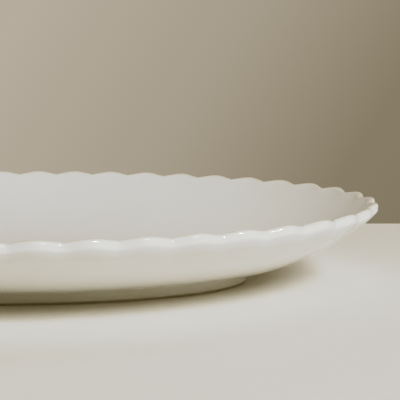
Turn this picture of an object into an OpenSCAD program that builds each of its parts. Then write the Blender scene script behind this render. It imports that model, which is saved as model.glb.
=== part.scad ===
// Oval china serving platter with a scalloped rim, standing on an oval foot ring.
// Origin: on the table, under the middle of the platter. +X runs along the length, +Z is up.

/* [Outline] */
// Length of the rim, end to end
rim_l = 360; // [320:2:420]
// Width of the rim, side to side
rim_w = 264; // [236:2:308]
// Height of the rim's crest above the table
rim_h = 41; // [34:0.5:50]

/* [Scallops] */
// Number of scallops round the rim; even, so that both halves are alike
scallop_n = 44; // [30:2:60]
// How far the tip of a scallop stands out past the creases beside it
scallop_depth = 2.3; // [0:0.1:4]
// How far the tip of a scallop stands above the creases beside it
scallop_rise = 1.4; // [0:0.1:3]
// Place of the first tip, in scallops past the end of the long axis
scallop_phase = 0.24; // [0:0.01:1]
// Roundness of the crease between two scallops, from sharp to a plain wave
crease_soft = 0.65; // [0.2:0.05:2]

/* [Wall] */
// Thickness of the flared wall, measured upright at the rim
lip_t = 5.5; // [5:0.1:7]
// Radius of the lip's rounded crest, towards the outside
crest_r = 1.6; // [1.2:0.1:1.8]
// Radius of the lip's softer roll, from the crest in towards the bowl
roll_r = 3.2; // [2.4:0.1:3.6]
// Radius of the lip's rounded lower corner
corner_r = 2.2; // [1.6:0.1:2.6]
// Radius of the wider bend from the lip's lower corner down into the wall
bend_r = 22; // [14:1:24]
// How far the lip stands out past the wall
lip_proud = 0.6; // [0.4:0.1:1]
// Height of the outside of the wall a third of the way out, as a share of its rise
wall_low = 0.05; // [0:0.01:0.2]
// Height of the outside of the wall two thirds of the way out, as a share of its rise
wall_mid = 0.44; // [0.3:0.01:0.55]

/* [Well] */
// Thickness of the flat floor of the well
floor_t = 4.5; // [3.5:0.1:6]
// Height of the floor's underside above the table
recess_h = 4.2; // [2.5:0.1:5]

/* [Foot ring] */
// Length of the foot ring
foot_l = 234; // [210:2:250]
// Width of the foot ring across the platter
foot_w = 124; // [110:2:140]
// Height of the foot ring where it meets the wall
foot_h = 6.6; // [5.5:0.1:9]
// Thickness of the foot ring
foot_t = 6.5; // [5:0.1:9]
// Height of the unglazed band that touches the table
band_h = 0.9; // [0.5:0.1:1.5]
// How far the unglazed band is set in from each face of the foot ring
band_inset = 0.9; // [0.4:0.1:1.4]

/* [Hidden] */

glaze_white = [0.9, 0.89, 0.86];
bare_clay = [0.78, 0.74, 0.66];

// A place across the wall is its share: 0 at the outside of the foot ring, 1 at the edge of the rim.
well_share = -0.5;
cavetto_share = 0.38;
lip_share = 0.84;
lip_mid_share = (lip_share + 1) / 2;

// Heights of the bowl's inner side, as shares of its own rise, a third and two thirds of the way out.
bowl_low = 0;
bowl_mid = 0.145;

// The bowl's inner side aims a little above the crest, so that the crest rounds off from it smoothly.
bowl_over = 2;

// Angles on the lip: the crest's last point before its top, the roll's end, the lower corner's end
// and the bend's end.
crest_turn = 60;
roll_turn = 131;
corner_turn = -38;
bend_turn = -54;

// Steps round the rim: three for each scallop in the wall, six in the lip.
wall_steps = 3 * scallop_n;
lip_steps = 6 * scallop_n;
bend_steps = 2;
crest_steps = 2;
roll_steps = 2;
arc_steps = 720;
plate_steps = 180;

floor_z = recess_h + floor_t;

// Half the length and half the width of the oval at one share of the wall and one offset from it.
function half_l(share, offset) = foot_l / 2 + (rim_l - foot_l) / 2 * share + offset;
function half_w(share, offset) = foot_w / 2 + (rim_w - foot_w) / 2 * share + offset;

// Distance round the rim up to each angle, so that the scallops are evenly spaced.
function rim_point(angle) = [rim_l / 2 * cos(angle), rim_w / 2 * sin(angle)];
function arc_angle(i) = 360 * i / arc_steps;
function arc_piece(i) = norm(rim_point(arc_angle(i + 1)) - rim_point(arc_angle(i)));
arc_table = [for (i = 0, s = 0; i <= arc_steps; s = s + arc_piece(i), i = i + 1) [s, arc_angle(i)]];
perimeter = arc_table[arc_steps][0];

// Angle on the oval of step i out of n, counted from the first scallop tip.
function step_share(i, n) = (i / n + scallop_phase / scallop_n) % 1;
function step_angle(i, n) = lookup(step_share(i, n) * perimeter, arc_table);

// Scallop wave: 0.5 at a tip and -0.5 in a crease.
function wave_raw(c) = sqrt(c * c + crease_soft * crease_soft) - crease_soft;
function wave(i, n) = wave_raw(cos(180 * scallop_n * i / n)) / wave_raw(1) - 0.5;

// Outward direction of the rim at an angle.
function outward(angle) = let (d = [rim_w * cos(angle), rim_l * sin(angle)]) d / norm(d);

// Cubic curve through 0 and 1 with two handles between them.
function cubic(u, low, mid) = 3 * low * u * (1 - u) ^ 2 + 3 * mid * u ^ 2 * (1 - u) + u ^ 3;

// Height of the outside and of the inside of the wall at one share.
function outside_z(share) = foot_h + (rim_h - lip_t - foot_h) * cubic(share, wall_low, wall_mid);
function bowl_share(share) = (share - well_share) / (1 - well_share);
function bowl_rise(share) = (rim_h + bowl_over - floor_z) * cubic(bowl_share(share), bowl_low, bowl_mid);
function inside_z(share) = floor_z + bowl_rise(share);

// The scallops fade out from the crest down to the foot of the lip.
function fade(share) = let (u = min(1, max(0, (share - lip_share) / (1 - lip_share)))) u * u * (3 - 2 * u);

// Points of the wall's section: [share, offset, height, share of the scallop wave].
function outside_pt(share) = [share, 0, outside_z(share), fade(share)];
function inside_pt(share) = [share, 0, inside_z(share), fade(share)];

// A stretch of the wall's section in n equal steps.
function along(from, to, n) = [for (k = [0:n]) from + (to - from) * k / n];
function outside_line(from, to, n) = [for (share = along(from, to, n)) outside_pt(share)];
function inside_line(from, to, n) = [for (share = along(from, to, n)) inside_pt(share)];

// Share of the wall that lies at a reach past its end.
function reach_share(reach) = 1 + 4 * reach / (rim_l + rim_w - foot_l - foot_w);

// Rounded part of the lip, between two angles.
function lip_pt(reach, level) = [1, reach, level, fade(reach_share(reach))];
function lip_round(reach, level, radius, from, to, n) =
    [for (a = along(from, to, n)) lip_pt(reach + radius * cos(a), level + radius * sin(a))];

// Reach of the centres of the lip's roundings, past the end of the wall.
crest_reach = lip_proud - crest_r;
corner_reach = lip_proud - corner_r;
bend_reach = corner_reach - (bend_r - corner_r) * cos(corner_turn);

// Levels of the centres of the bend, which runs on from the outer side of the wall, and the corner.
bend_level = outside_z(reach_share(bend_reach + bend_r * cos(bend_turn))) - bend_r * sin(bend_turn);
corner_level = bend_level + (bend_r - corner_r) * sin(corner_turn);

// Solid ring: the section carried round the oval, with the scallop wave added.
module oval_ring(section, steps) {
    m = len(section);
    points = [
        for (i = [0:steps - 1])
            let (
                angle = step_angle(i, steps),
                w = wave(i, steps),
                out = outward(angle)
            )
            for (p = section)
                let (swing = scallop_depth * w * p[3])
                [
                    half_l(p[0], p[1]) * cos(angle) + swing * out.x,
                    half_w(p[0], p[1]) * sin(angle) + swing * out.y,
                    p[2] + scallop_rise * w * p[3]
                ]
    ];
    faces = [
        for (i = [0:steps - 1], j = [0:m - 1])
            let (
                a = i * m + j,
                b = i * m + (j + 1) % m,
                c = ((i + 1) % steps) * m + (j + 1) % m,
                d = ((i + 1) % steps) * m + j
            )
            each [[a, b, c], [a, c, d]]
    ];
    polyhedron(points = points, faces = faces);
}

// Upright-sided oval plate, cut off flat at both ends.
module oval_plate(l, w, h) {
    intersection() {
        translate([0, 0, -h])
            linear_extrude(3 * h)
                scale([1, w / l])
                    circle(d = l, $fn = plate_steps);
        translate([-l, -w, 0])
            cube([2 * l, 2 * w, h]);
    }
}

// Upright-sided oval ring of even thickness, inset from the foot ring's faces.
module foot_oval(inset, z0, z1) {
    bore_l = foot_l - 2 * foot_t;
    bore_w = foot_w - 2 * foot_t;
    h = z1 - z0;
    difference() {
        translate([0, 0, z0])
            oval_plate(foot_l - 2 * inset, foot_w - 2 * inset, h);
        translate([0, 0, z0 - h])
            oval_plate(bore_l + 2 * inset, bore_w + 2 * inset, 3 * h);
    }
}

// Flat floor in the middle of the platter.
module well_floor() {
    color(glaze_white)
        translate([0, 0, recess_h])
            oval_plate(2 * half_l(well_share, 0), 2 * half_w(well_share, 0), floor_t);
}

// Lower wall that rises from the floor and sits on the foot ring.
module cavetto() {
    under = [
        [well_share, 0, recess_h, 0],
        [0, -foot_t, recess_h, 0],
        [0, -foot_t, foot_h, 0]
    ];
    color(glaze_white)
        oval_ring(
            concat(
                under,
                outside_line(0, cavetto_share, 2),
                inside_line(cavetto_share, well_share, 3)
            ),
            wall_steps
        );
}

// Wide flaring wall between the cavetto and the lip.
module flared_wall() {
    color(glaze_white)
        oval_ring(
            concat(
                outside_line(cavetto_share, lip_share, 3),
                inside_line(lip_share, cavetto_share, 3)
            ),
            wall_steps
        );
}

// Scalloped rim with its rounded edge.
module scalloped_lip() {
    color(glaze_white)
        oval_ring(
            concat(
                outside_line(lip_share, lip_mid_share, 1),
                lip_round(bend_reach, bend_level, bend_r, bend_turn, corner_turn, bend_steps),
                lip_round(corner_reach, corner_level, corner_r, corner_turn / 2, 0, 1),
                lip_round(crest_reach, rim_h - crest_r, crest_r, 0, crest_turn, crest_steps),
                lip_round(crest_reach, rim_h - roll_r, roll_r, 90, roll_turn, roll_steps),
                inside_line(lip_mid_share, lip_share, 1)
            ),
            lip_steps
        );
}

// Raised oval ring under the wall.
module foot_ring() {
    color(glaze_white)
        foot_oval(0, band_h, foot_h);
}

// Bare fired clay where the glaze is wiped off the foot.
module foot_contact_band() {
    color(bare_clay)
        foot_oval(band_inset, 0, band_h);
}

well_floor();
cavetto();
flared_wall();
scalloped_lip();
foot_ring();
foot_contact_band();
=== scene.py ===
"""Oval china serving platter with a scalloped rim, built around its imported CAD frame. Metres, +Z up."""
import math

import bpy
import numpy as np
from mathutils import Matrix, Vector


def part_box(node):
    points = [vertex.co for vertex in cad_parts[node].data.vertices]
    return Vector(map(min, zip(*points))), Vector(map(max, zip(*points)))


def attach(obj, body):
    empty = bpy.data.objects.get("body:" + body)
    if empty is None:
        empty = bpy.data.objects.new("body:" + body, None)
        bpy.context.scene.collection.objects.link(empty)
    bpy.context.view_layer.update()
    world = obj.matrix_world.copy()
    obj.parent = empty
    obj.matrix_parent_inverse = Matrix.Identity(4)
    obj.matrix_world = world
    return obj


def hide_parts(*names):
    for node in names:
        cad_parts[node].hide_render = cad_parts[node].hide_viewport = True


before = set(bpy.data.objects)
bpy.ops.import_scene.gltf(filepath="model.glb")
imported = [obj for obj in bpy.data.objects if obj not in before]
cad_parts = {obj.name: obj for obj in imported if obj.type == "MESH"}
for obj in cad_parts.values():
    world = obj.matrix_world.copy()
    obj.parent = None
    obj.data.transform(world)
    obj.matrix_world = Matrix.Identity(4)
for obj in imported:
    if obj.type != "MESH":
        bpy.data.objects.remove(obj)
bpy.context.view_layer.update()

# ---------------------------------------------------------------------------------------------
# Sizes. Places come from the frame's boxes; the rest are the platter's own design dimensions.
# ---------------------------------------------------------------------------------------------
MM = 0.001
foot_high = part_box("foot_ring")[1]
band_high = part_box("foot_contact_band")[1]
well_low, well_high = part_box("well_floor")

SCALLOPS = 44
SCALLOP_PHASE = 0.24
SCALLOP_DEPTH = 2.3 * MM
SCALLOP_RISE = 1.4 * MM
CREASE_SOFT = 0.65
CREASE_CUT = 0.25 * MM
CREASE_WIDTH = 0.035
CREASE_REACH = 2.4 * MM
THIN_REACH = 0.9 * MM
POOL_REACH = 1.6 * MM
UNEVEN = 0.35 * MM

# Hand-made waver round the platter: strength, waves in one round, start.
WAVERS = [(0.45, 5, 0.6), (0.35, 9, 2.1), (0.25, 14, 4.0)]

RIM_HALF = np.array([180.0, 132.0]) * MM
RIM_H = 40.95 * MM
LIP_T = 5.5 * MM
LIP_PROUD = 0.5 * MM
CREST_R = 1.6 * MM
ROLL_R, ROLL_TURN = 3.2 * MM, 131
CORNER_R, CORNER_TURN = 2.2 * MM, -38
BEND_R, BEND_TURN = 22 * MM, -54
FOOT_HALF = np.array([117.0, 62.0]) * MM
FOOT_H = foot_high.z
FOOT_T = 6.5 * MM
FOOT_JOIN_R, FOOT_JOIN_DROP = 1.3 * MM, 1.2 * MM
FOOT_EDGE_R = 1.0 * MM
BAND_H = band_high.z
BAND_TOP_IN, BAND_EDGE_IN = 1.25 * MM, 1.8 * MM
BAND_EDGE_R = 0.5 * MM
BAND_STEP = 0.1 * MM
RECESS_R = 1.2 * MM
RECESS_H = well_low.z
FLOOR_Z = well_high.z

# Places across the wall: 0 at the foot ring's outside, 1 at the edge of the rim.
WELL_SHARE = -0.5
RECESS_SHARE = -0.14
FOOT_JOIN_SHARE = 0.03
CAVETTO_SHARE = 0.38
LIP_SHARE = 0.84
LIP_UNDER_SHARE, LIP_INNER_SHARE = 0.92, 0.945
WALL_LOW, WALL_MID = 0.05, 0.44
BOWL_LOW, BOWL_MID = 0.0, 0.145
BOWL_OVER = 2.0 * MM

LIP_STEPS = 24 * SCALLOPS
WALL_STEPS = 8 * SCALLOPS
WELL_RINGS = 12
RIM_SAMPLES = 20001
SAME_POINT = 1e-6
TINY = 1e-12


# ---------------------------------------------------------------------------------------------
# The platter's section: one closed line, from the well over the lip and under to the well again.
# Each point is share, offset, height, part of the scallop wave, part of the unevenness.
# ---------------------------------------------------------------------------------------------
def cubic(u, low, mid):
    """Cubic curve through 0 and 1 with two handles between them."""
    return 3 * low * u * (1 - u) ** 2 + 3 * mid * u ** 2 * (1 - u) + u ** 3


def smooth(u):
    """Soft step from 0 to 1."""
    u = min(1.0, max(0.0, u))
    return u * u * (3 - 2 * u)


def outside_z(share):
    """Height of the wall's outside."""
    return FOOT_H + (RIM_H - LIP_T - FOOT_H) * cubic(share, WALL_LOW, WALL_MID)


def inside_z(share):
    """Height of the bowl's inside."""
    rise = RIM_H + BOWL_OVER - FLOOR_Z
    return FLOOR_Z + rise * cubic((share - WELL_SHARE) / (1 - WELL_SHARE), BOWL_LOW, BOWL_MID)


def fade(share):
    """Part of the scallop wave: none below the lip, all of it at the edge of the rim."""
    return smooth((share - LIP_SHARE) / (1 - LIP_SHARE))


def wall_line(height, start, stop, count, uneven=0.0):
    """Part of the wall; the unevenness fades out towards the lip."""
    shares = np.linspace(start, stop, count)
    return [(s, 0.0, height(s), fade(s), uneven * smooth(1 - s / LIP_SHARE)) for s in shares]


def turned(offset, height, radius, turn):
    """The point at an angle in degrees on a circle about a centre."""
    return offset + radius * math.cos(math.radians(turn)), height + radius * math.sin(math.radians(turn))


def foot_arc(offset, height, radius, start, stop, count, uneven=0.0):
    """Round corner of the foot ring, between two angles."""
    points = [turned(offset, height, radius, turn) for turn in np.linspace(start, stop, count)]
    return [(0.0, x, z, 0.0, uneven) for x, z in points]


def lip_arc(offset, height, radius, start, stop, count):
    """Round part of the lip, between two angles; the scallops fade with the distance from the edge."""
    points = [turned(offset, height, radius, turn) for turn in np.linspace(start, stop, count)]
    return [(1.0, x, z, fade(1 + x / WALL_RUN), 0.0) for x, z in points]


# The corner under the lip runs into a wider bend, which runs on into the wall.
WALL_RUN = np.mean(RIM_HALF - FOOT_HALF)
CREST_X, CORNER_X = LIP_PROUD - CREST_R, LIP_PROUD - CORNER_R
BEND_X = turned(CORNER_X, 0.0, CORNER_R - BEND_R, CORNER_TURN)[0]
BEND_END = turned(BEND_X, 0.0, BEND_R, BEND_TURN)
BEND_Z = outside_z(1 + BEND_END[0] / WALL_RUN) - BEND_END[1]
CORNER_Z = turned(0.0, BEND_Z, BEND_R - CORNER_R, CORNER_TURN)[1]


def section_line():
    """The whole section, and the first and last index of each named stretch of it."""
    edge_z = BAND_H + BAND_STEP + FOOT_EDGE_R
    stretches = [
        ("inside_cavetto", wall_line(inside_z, WELL_SHARE, CAVETTO_SHARE, 16)),
        ("inside_wall", wall_line(inside_z, CAVETTO_SHARE, LIP_SHARE, 12)),
        ("inside_lip", wall_line(inside_z, LIP_SHARE, LIP_INNER_SHARE, 9)),
        ("lip_roll", lip_arc(CREST_X, RIM_H - ROLL_R, ROLL_R, ROLL_TURN, 95, 7)),
        ("lip_crest", lip_arc(CREST_X, RIM_H - CREST_R, CREST_R, 90, 0, 10)),
        ("lip_corner", lip_arc(CORNER_X, CORNER_Z, CORNER_R, 0, CORNER_TURN, 8)),
        ("lip_bend", lip_arc(BEND_X, BEND_Z, BEND_R, CORNER_TURN - 2, BEND_TURN, 7)),
        ("outside_lip", wall_line(outside_z, LIP_UNDER_SHARE, LIP_SHARE, 7)),
        ("outside_wall", wall_line(outside_z, LIP_SHARE, CAVETTO_SHARE, 12, 1.0)),
        ("outside_cavetto", wall_line(outside_z, CAVETTO_SHARE, FOOT_JOIN_SHARE, 10, 1.0)),
        ("foot_outer", foot_arc(FOOT_JOIN_R, FOOT_H - FOOT_JOIN_DROP, FOOT_JOIN_R, 95, 180, 6, 1.0)
         + foot_arc(-FOOT_EDGE_R, edge_z, FOOT_EDGE_R, 0, -90, 6)),
        ("band", [(0.0, -BAND_TOP_IN, BAND_H - BAND_STEP, 0.0, 0.0)]
         + foot_arc(-BAND_EDGE_IN, BAND_EDGE_R, BAND_EDGE_R, -10, -90, 5)
         + foot_arc(BAND_EDGE_IN - FOOT_T, BAND_EDGE_R, BAND_EDGE_R, -90, -170, 5)
         + [(0.0, BAND_TOP_IN - FOOT_T, BAND_H - BAND_STEP, 0.0, 0.0)]),
        ("foot_inner", foot_arc(FOOT_EDGE_R - FOOT_T, edge_z, FOOT_EDGE_R, -90, -180, 6)
         + foot_arc(-RECESS_R - FOOT_T, RECESS_H - RECESS_R, RECESS_R, 0, 90, 6)),
        ("recess", [(s, 0.0, RECESS_H, 0.0, 0.0) for s in np.linspace(RECESS_SHARE, WELL_SHARE, 8)]),
    ]
    line, spans = [], {}
    for name, points in stretches:
        if line and np.allclose(line[-1][:3], points[0][:3], atol=SAME_POINT):
            points = points[1:]
            spans[name] = (len(line) - 1, len(line) + len(points) - 1)
        else:
            spans[name] = (max(len(line) - 1, 0), len(line) + len(points) - 1)
        line += points
    return np.array(line), spans


def rim_angles(steps):
    """Angles on the oval, evenly spaced along the rim and counted from a scallop's tip."""
    fine = np.linspace(0, 2 * np.pi, RIM_SAMPLES)
    run = np.hypot(np.diff(RIM_HALF[0] * np.cos(fine)), np.diff(RIM_HALF[1] * np.sin(fine)))
    run = np.concatenate([[0], np.cumsum(run)])
    share = (np.arange(steps) / steps + SCALLOP_PHASE / SCALLOPS) % 1
    return np.interp(share * run[-1], run, fine)


def scallop_wave(steps):
    """0.5 at a scallop's tip and -0.5 in the crease between two."""
    c = np.cos(np.pi * SCALLOPS * np.arange(steps) / steps)
    raw = np.sqrt(c * c + CREASE_SOFT ** 2) - CREASE_SOFT
    return raw / (math.sqrt(1 + CREASE_SOFT ** 2) - CREASE_SOFT) - 0.5


def crease_wave(steps):
    """1 in the middle of each crease and 0 a little way off it."""
    off = (SCALLOPS * np.arange(steps) / steps) % 1 - 0.5
    return np.exp(-(off / CREASE_WIDTH) ** 2)


def uneven_wave(angle):
    """Slow hand-made waver round the platter, between about -1 and 1."""
    return sum(strength * np.sin(waves * angle + start) for strength, waves, start in WAVERS)


def swept(line, steps):
    """The section carried round the oval: points and outward normals, steps by section points."""
    angle = rim_angles(steps)[:, None]
    wave = scallop_wave(steps)[:, None]
    out = np.stack([RIM_HALF[1] * np.cos(angle), RIM_HALF[0] * np.sin(angle)], 2)
    out /= np.linalg.norm(out, axis=2, keepdims=True)
    half = FOOT_HALF + (RIM_HALF - FOOT_HALF) * line[:, :1] + line[:, 1:2]
    cut = crease_wave(steps)[:, None] * [smooth(1 - (RIM_H - z) / CREASE_REACH) for z in line[:, 2]]
    swing = SCALLOP_DEPTH * wave * line[:, 3] - CREASE_CUT * cut
    lift = SCALLOP_RISE * wave * line[:, 3] - CREASE_CUT * cut + UNEVEN * uneven_wave(angle) * line[:, 4]
    grid = np.stack([
        half[:, 0] * np.cos(angle) + swing * out[..., 0],
        half[:, 1] * np.sin(angle) + swing * out[..., 1],
        line[:, 2] + lift,
    ], 2)
    around = np.roll(grid, -1, 0) - np.roll(grid, 1, 0)
    along = np.gradient(grid, axis=1)
    normal = np.cross(along, around)
    normal /= np.linalg.norm(normal, axis=2, keepdims=True)
    return grid, normal


# ---------------------------------------------------------------------------------------------
# Meshes
# ---------------------------------------------------------------------------------------------
def make_object(name, points, faces, face_smooth, corner_normals, traits):
    """A mesh with its own normals, and a value at each point for each trait."""
    mesh = bpy.data.meshes.new(name)
    mesh.from_pydata(points, [], faces)
    for trait, values in traits.items():
        mesh.attributes.new(trait, "FLOAT", "POINT").data.foreach_set("value", values)
    mesh.polygons.foreach_set("use_smooth", face_smooth)
    mesh.update()
    mesh.normals_split_custom_set(corner_normals)
    obj = bpy.data.objects.new(name, mesh)
    bpy.context.scene.collection.objects.link(obj)
    return obj


def glaze_traits():
    """How thin the glaze has run at each point of the section, and how much of it has pooled."""
    height = LINE[:, 2]
    thin = [0.5 * smooth(1 - (RIM_H - z) / THIN_REACH) for z in height]
    pool = [0.5 * smooth(1 - abs(z - FOOT_H) / POOL_REACH) for z in height]
    return {"thin": np.array(thin), "pool": np.array(pool)}


def ring_piece(name, spans, steps):
    """A closed ring: the named stretches of the section, joined across where it meets its neighbours."""
    grid, normal = swept(LINE, steps)
    columns = []
    for first, last in spans:
        columns += list(range(first, last + 1))
    m = len(columns)
    points = grid[:, columns].reshape(-1, 3)
    normals = normal[:, columns].reshape(-1, 3)
    i = np.arange(steps)
    after = (i + 1) % steps
    quads, outer = [], []
    for k in range(m):
        n = (k + 1) % m
        quads.append(np.stack([i * m + k, i * m + n, after * m + n, after * m + k], 1))
        outer.append(np.full(steps, columns[n] == columns[k] + 1))
    quads, outer = np.concatenate(quads), np.concatenate(outer)
    corner = normals[quads]
    flat = np.cross(points[quads[:, 2]] - points[quads[:, 0]], points[quads[:, 3]] - points[quads[:, 1]])
    flat /= np.maximum(np.linalg.norm(flat, axis=1, keepdims=True), TINY)
    corner[~outer] = flat[~outer][:, None]
    traits = {trait: np.tile(values[columns], steps) for trait, values in glaze_traits().items()}
    return make_object(name, points.tolist(), quads.tolist(), outer, corner.reshape(-1, 3).tolist(), traits)


def well_piece(name, steps):
    """The floor of the well: rings shrinking to one point, above and below."""
    grid, normal = swept(LINE[[0, -1]], steps)
    top, under = grid[:, 0], grid[:, 1]
    points, faces = [], []
    for side in (top, under):
        for ring in range(WELL_RINGS, 0, -1):
            points += (side * [ring / WELL_RINGS, ring / WELL_RINGS, 1]).tolist()
    centre_top, centre_under = len(points), len(points) + 1
    points += [[0, 0, top[0, 2]], [0, 0, under[0, 2]]]
    below = WELL_RINGS * steps
    for i in range(steps):
        n = (i + 1) % steps
        for ring in range(WELL_RINGS - 1):
            a, b = ring * steps, (ring + 1) * steps
            faces.append((a + i, a + n, b + n, b + i))
            faces.append((below + a + n, below + a + i, below + b + i, below + b + n))
        last = (WELL_RINGS - 1) * steps
        faces.append((last + i, last + n, centre_top))
        faces.append((below + last + n, below + last + i, centre_under))
        faces.append((i, below + i, below + n, n))
    mesh = bpy.data.meshes.new(name)
    mesh.from_pydata(points, [], faces)
    obj = bpy.data.objects.new(name, mesh)
    bpy.context.scene.collection.objects.link(obj)
    return obj


# ---------------------------------------------------------------------------------------------
# Camera
# ---------------------------------------------------------------------------------------------
CAMERA_PLACE = (0.0931, -0.6053, 0.1189)
CAMERA_PITCH = 7.348
FIELD_OF_VIEW = 18.69
SENSOR_WIDTH = 36
NEAREST = 0.01


def add_camera():
    """A low camera, level from side to side, that looks along the platter's width."""
    data = bpy.data.cameras.new("camera")
    data.sensor_width = SENSOR_WIDTH
    data.lens = data.sensor_width / 2 / math.tan(math.radians(FIELD_OF_VIEW / 2))
    data.clip_start = NEAREST
    camera = bpy.data.objects.new("camera", data)
    camera.location = CAMERA_PLACE
    camera.rotation_euler = (math.radians(90 - CAMERA_PITCH), 0, 0)
    bpy.context.scene.collection.objects.link(camera)
    bpy.context.scene.camera = camera


# ---------------------------------------------------------------------------------------------
# Materials
# ---------------------------------------------------------------------------------------------
def add(tree, kind, inputs, **settings):
    """A node with its settings made and each input either linked or given a value."""
    made = tree.nodes.new(kind)
    for name, value in settings.items():
        setattr(made, name, value)
    for name, value in inputs.items():
        if isinstance(value, bpy.types.NodeSocket):
            tree.links.new(value, made.inputs[name])
        else:
            made.inputs[name].default_value = value
    return made


def new_material(name):
    """A new material, its node tree and its shader."""
    material = bpy.data.materials.new(name)
    material.use_nodes = True
    return material, material.node_tree, material.node_tree.nodes["Principled BSDF"]


def place(tree):
    """Place in the shared frame, so that patterns run on from piece to piece."""
    return add(tree, "ShaderNodeTexCoord", {}).outputs["Object"]


def noise(tree, scale, detail=2.0, rough=0.5):
    """Smooth noise over the object, in features per metre."""
    inputs = {"Vector": place(tree), "Scale": scale, "Detail": detail, "Roughness": rough}
    return add(tree, "ShaderNodeTexNoise", inputs).outputs["Fac"]


def stretch(tree, value, low, high, to_low, to_high):
    """A value's range laid onto another range."""
    inputs = {"Value": value, "From Min": low, "From Max": high, "To Min": to_low, "To Max": to_high}
    return add(tree, "ShaderNodeMapRange", inputs).outputs["Result"]


def blend(tree, factor, first, second):
    """One colour at factor 0, the other at 1."""
    inputs = {"Fac": factor, "Color1": first, "Color2": second}
    return add(tree, "ShaderNodeMixRGB", inputs).outputs["Color"]


def bump(tree, height, distance, under=None):
    """Fine relief, on top of another relief if one is given."""
    inputs = {"Height": height, "Distance": distance}
    if under is not None:
        inputs["Normal"] = under
    return add(tree, "ShaderNodeBump", inputs).outputs["Normal"]


def attribute(tree, name):
    """A value that the mesh carries at its points."""
    return add(tree, "ShaderNodeAttribute", {}, attribute_name=name).outputs["Fac"]


PICK_EDGE = 0.001


def specks(tree, scale, size, share):
    """Rare round dots: one cell in a few carries a dot."""
    cells = add(tree, "ShaderNodeTexVoronoi", {"Vector": place(tree), "Scale": scale})
    dot = stretch(tree, cells.outputs["Distance"], size, size / 2, 0.0, 1.0)
    pick = add(tree, "ShaderNodeSeparateColor", {"Color": cells.outputs["Color"]}).outputs["Red"]
    chosen = stretch(tree, pick, 1.0 - share, 1.0 - share + PICK_EDGE, 0.0, 1.0)
    return add(tree, "ShaderNodeMath", {0: dot, 1: chosen}, operation="MULTIPLY").outputs[0]


GLAZE_WHITE = (0.928, 0.935, 0.948, 1)
GLAZE_CLOUD = (0.915, 0.920, 0.928, 1)
THIN_GLAZE = (0.80, 0.745, 0.655, 1)
POOLED_GLAZE = (0.80, 0.80, 0.755, 1)
SPECK = (0.55, 0.47, 0.38, 1)
CLAY_PALE = (0.74, 0.68, 0.58, 1)
CLAY_DEEP = (0.60, 0.53, 0.43, 1)
CLAY_SPECK = (0.30, 0.24, 0.19, 1)
TABLE_PALE = (0.945, 0.930, 0.914, 1)
TABLE_GRAIN = (0.920, 0.904, 0.886, 1)
TABLE_PAINTED_SHADE = (0.66, 0.63, 0.58, 1)

# Painted shade: where the table starts to darken towards the front, and where it is darkest. The darker
# front stands in for less light there, and it dims the light the table bounces onto the platter.
PAINTED_SHADE_FROM, PAINTED_SHADE_TO = -0.22, -0.34


def glaze_material():
    """Glossy white glaze: faint clouds, ripples and specks, warm where thin, greenish where pooled."""
    material, tree, shader = new_material("glaze")
    cloud = stretch(tree, noise(tree, 26, 3), 0.35, 0.65, 0.0, 1.0)
    color = blend(tree, cloud, GLAZE_WHITE, GLAZE_CLOUD)
    color = blend(tree, attribute(tree, "thin"), color, THIN_GLAZE)
    color = blend(tree, attribute(tree, "pool"), color, POOLED_GLAZE)
    color = blend(tree, specks(tree, 110, 0.035, 0.05), color, SPECK)
    tree.links.new(color, shader.inputs["Base Color"])
    tree.links.new(stretch(tree, noise(tree, 38), 0.3, 0.7, 0.05, 0.09), shader.inputs["Roughness"])
    ripple = bump(tree, noise(tree, 130, 1), 0.05 * MM)
    tree.links.new(bump(tree, noise(tree, 900, 2), 0.002 * MM, ripple), shader.inputs["Normal"])
    return material


def clay_material():
    """Matt fired clay with a fine grain and dark specks."""
    material, tree, shader = new_material("bare clay")
    grain = stretch(tree, noise(tree, 1500, 4, 0.7), 0.3, 0.7, 0.0, 1.0)
    color = blend(tree, grain, CLAY_PALE, CLAY_DEEP)
    color = blend(tree, specks(tree, 500, 0.09, 0.12), color, CLAY_SPECK)
    tree.links.new(color, shader.inputs["Base Color"])
    tree.links.new(stretch(tree, grain, 0.0, 1.0, 0.78, 0.95), shader.inputs["Roughness"])
    tree.links.new(bump(tree, grain, 0.05 * MM), shader.inputs["Normal"])
    return material


def table_material():
    """Fine pale grain, with painted shade that darkens the table towards the front."""
    material, tree, shader = new_material("table")
    mottle = stretch(tree, noise(tree, 220, 4, 0.65), 0.3, 0.7, 0.0, 1.0)
    color = blend(tree, mottle, TABLE_PALE, TABLE_GRAIN)
    front = add(tree, "ShaderNodeSeparateXYZ", {"Vector": place(tree)}).outputs["Y"]
    # Painted shade: the table's colour darkens towards the front, standing in for less light there.
    color = blend(tree, stretch(tree, front, PAINTED_SHADE_FROM, PAINTED_SHADE_TO, 0.0, 1.0), color, TABLE_PAINTED_SHADE)
    tree.links.new(color, shader.inputs["Base Color"])
    tree.links.new(stretch(tree, mottle, 0.0, 1.0, 0.7, 0.8), shader.inputs["Roughness"])
    tree.links.new(bump(tree, noise(tree, 1200, 3), 0.05 * MM), shader.inputs["Normal"])
    return material


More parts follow.
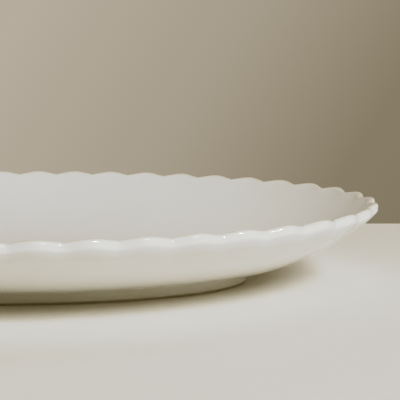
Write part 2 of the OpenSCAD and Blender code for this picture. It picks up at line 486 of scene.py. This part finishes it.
# ---------------------------------------------------------------------------------------------
# The platter's pieces
# ---------------------------------------------------------------------------------------------
add_camera()
LINE, SPANS = section_line()
glaze, clay = glaze_material(), clay_material()
cavetto_spans = [SPANS["inside_cavetto"], SPANS["outside_cavetto"], SPANS["recess"]]
lip_span = (SPANS["inside_lip"][0], SPANS["outside_lip"][1])
pieces = [
    (well_piece("platter_well_floor", WALL_STEPS), "well_floor", glaze, "glaze"),
    (ring_piece("platter_cavetto", cavetto_spans, WALL_STEPS), "cavetto", glaze, "glaze"),
    (ring_piece("platter_flared_wall", [SPANS["inside_wall"], SPANS["outside_wall"]], WALL_STEPS),
     "flared_wall", glaze, "glaze"),
    (ring_piece("platter_scalloped_lip", [lip_span], LIP_STEPS), "scalloped_lip", glaze, "glaze"),
    (ring_piece("platter_foot_ring", [SPANS["foot_outer"], SPANS["foot_inner"]], WALL_STEPS),
     "foot_ring", glaze, "glaze"),
    (ring_piece("platter_foot_contact_band", [SPANS["band"]], WALL_STEPS),
     "foot_contact_band", clay, "bare_clay"),
]
for piece, node, material, slot in pieces:
    piece.data.materials.append(material)
    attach(piece, "root")
    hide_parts(node)


# ---------------------------------------------------------------------------------------------
# Table, backdrop and light
# ---------------------------------------------------------------------------------------------
TABLE_FRONT, TABLE_BACK = -3.0, 0.2
TABLE_SIDE = 2.5
TABLE_EDGE_R = 0.006
TABLE_DROP = 1.5


def add_table():
    """A pale table top with a rounded back edge."""
    rows = [(TABLE_FRONT, 0.0)]
    rows += [turned(TABLE_BACK - TABLE_EDGE_R, -TABLE_EDGE_R, TABLE_EDGE_R, turn)
             for turn in np.linspace(90, 0, 7)]
    rows.append((TABLE_BACK, -TABLE_DROP))
    points = [(x, y, z) for y, z in rows for x in (-TABLE_SIDE, TABLE_SIDE)]
    faces = [(2 * i, 2 * i + 1, 2 * i + 3, 2 * i + 2) for i in range(len(rows) - 1)]
    mesh = bpy.data.meshes.new("table")
    mesh.from_pydata(points, [], faces)
    mesh.materials.append(table_material())
    table = bpy.data.objects.new("table", mesh)
    bpy.context.scene.collection.objects.link(table)


LIGHT_DISTANCE = 2.4
KEY_COLOR = (0.935, 0.933, 0.955)
SIDE_COLOR = (0.92, 0.93, 1.0)


def add_softbox(name, around, above, size, power, color):
    """A soft light at an angle round from the camera's side to the right, and above the table."""
    a, e = math.radians(around), math.radians(above)
    data = bpy.data.lights.new(name, "AREA")
    data.shape = "RECTANGLE"
    data.size, data.size_y = size
    data.energy = power
    data.color = color
    lamp = bpy.data.objects.new(name, data)
    toward = (math.sin(a) * math.cos(e), -math.cos(a) * math.cos(e), math.sin(e))
    lamp.location = [LIGHT_DISTANCE * part for part in toward]
    lamp.rotation_euler = lamp.location.to_track_quat("Z", "Y").to_euler()
    bpy.context.scene.collection.objects.link(lamp)


# Brightness of the backdrop across the view, from left to right.
BACKDROP = [(-0.60, 0.40), (-0.16, 0.47), (0.03, 0.376), (0.18, 0.237), (0.60, 0.15)]
BACKDROP_TINT = (1.0, 0.945, 0.99)
ROOM_LOW = (0.09, 0.087, 0.084, 1)
ROOM_HIGH = (0.165, 0.165, 0.178, 1)
ROOM_TOP = 0.6

# How far the backdrop's tones lean across with height, and the heights between which they do.
BACKDROP_LEAN = -0.6
LEAN_LOW, LEAN_HIGH = -0.2, 0.1

# The backdrop fades in from the sides towards the back, and out towards the ceiling.
BACK_FROM, BACK_FULL = -0.2, 0.4
CEILING_FROM, CEILING_FULL = 0.5, 0.95


def add_world():
    """A backdrop that darkens from left to right behind the table, and a dim room elsewhere."""
    world = bpy.data.worlds.new("room")
    world.use_nodes = True
    tree = world.node_tree
    toward = add(tree, "ShaderNodeTexCoord", {}).outputs["Generated"]
    split = add(tree, "ShaderNodeSeparateXYZ", {"Vector": toward})
    height = add(tree, "ShaderNodeClamp", {"Value": split.outputs["Z"], "Min": LEAN_LOW, "Max": LEAN_HIGH})
    lean = {0: height.outputs["Result"], 1: BACKDROP_LEAN, 2: split.outputs["X"]}
    across = add(tree, "ShaderNodeMath", lean, operation="MULTIPLY_ADD").outputs[0]
    first, last = BACKDROP[0][0], BACKDROP[-1][0]
    ramp = add(tree, "ShaderNodeValToRGB", {"Fac": stretch(tree, across, first, last, 0.0, 1.0)})
    stops = ramp.color_ramp.elements
    for _ in BACKDROP[1:-1]:
        stops.new(0.5)
    for stop, (at, tone) in zip(stops, BACKDROP):
        stop.position = (at - first) / (last - first)
        stop.color = (*(tone * tint for tint in BACKDROP_TINT), 1)
    behind = stretch(tree, split.outputs["Y"], BACK_FROM, BACK_FULL, 0.0, 1.0)
    below = stretch(tree, split.outputs["Z"], CEILING_FROM, CEILING_FULL, 1.0, 0.0)
    shown = add(tree, "ShaderNodeMath", {0: behind, 1: below}, operation="MULTIPLY").outputs[0]
    room = blend(tree, stretch(tree, split.outputs["Z"], 0.0, ROOM_TOP, 0.0, 1.0), ROOM_LOW, ROOM_HIGH)
    tree.links.new(blend(tree, shown, room, ramp.outputs["Color"]), tree.nodes["Background"].inputs["Color"])
    bpy.context.scene.world = world


# Bright tones ease off towards white: level in the scene and level in the picture.
SHOULDER = [(0.50, 0.49), (0.62, 0.583), (0.75, 0.641), (0.87, 0.682)]
SHOULDER_TOP = 0.725

# How fast green and blue fall off next to red, and the levels at which their curves are set.
GREEN_POWER, BLUE_POWER = 1.09, 1.42
BLUE_TOP = 0.88
TONE_LEVELS = (0.1, 0.3, 0.6, 0.7)


def add_toning():
    """Soft highlights, and deep tones that lean a little to olive."""
    view = bpy.context.scene.view_settings
    view.view_transform = "Standard"
    view.use_curve_mapping = True
    _, green, blue, combined = view.curve_mapping.curves
    for level, shown in SHOULDER:
        combined.points.new(level, shown)
    combined.points[-1].location = (1.0, SHOULDER_TOP)
    for curve, power in ((green, GREEN_POWER), (blue, BLUE_POWER)):
        for level in TONE_LEVELS:
            curve.points.new(level, level ** power)
    blue.points[-1].location = (1.0, BLUE_TOP)
    view.curve_mapping.update()


add_table()
add_softbox("key", 36, 33.5, (0.6, 0.6), 41.5, KEY_COLOR)
add_softbox("back", 152, 49, (1.2, 0.9), 5.6, SIDE_COLOR)
add_softbox("low side", -85, 9, (1.0, 0.6), 5.8, SIDE_COLOR)
add_world()
add_toning()
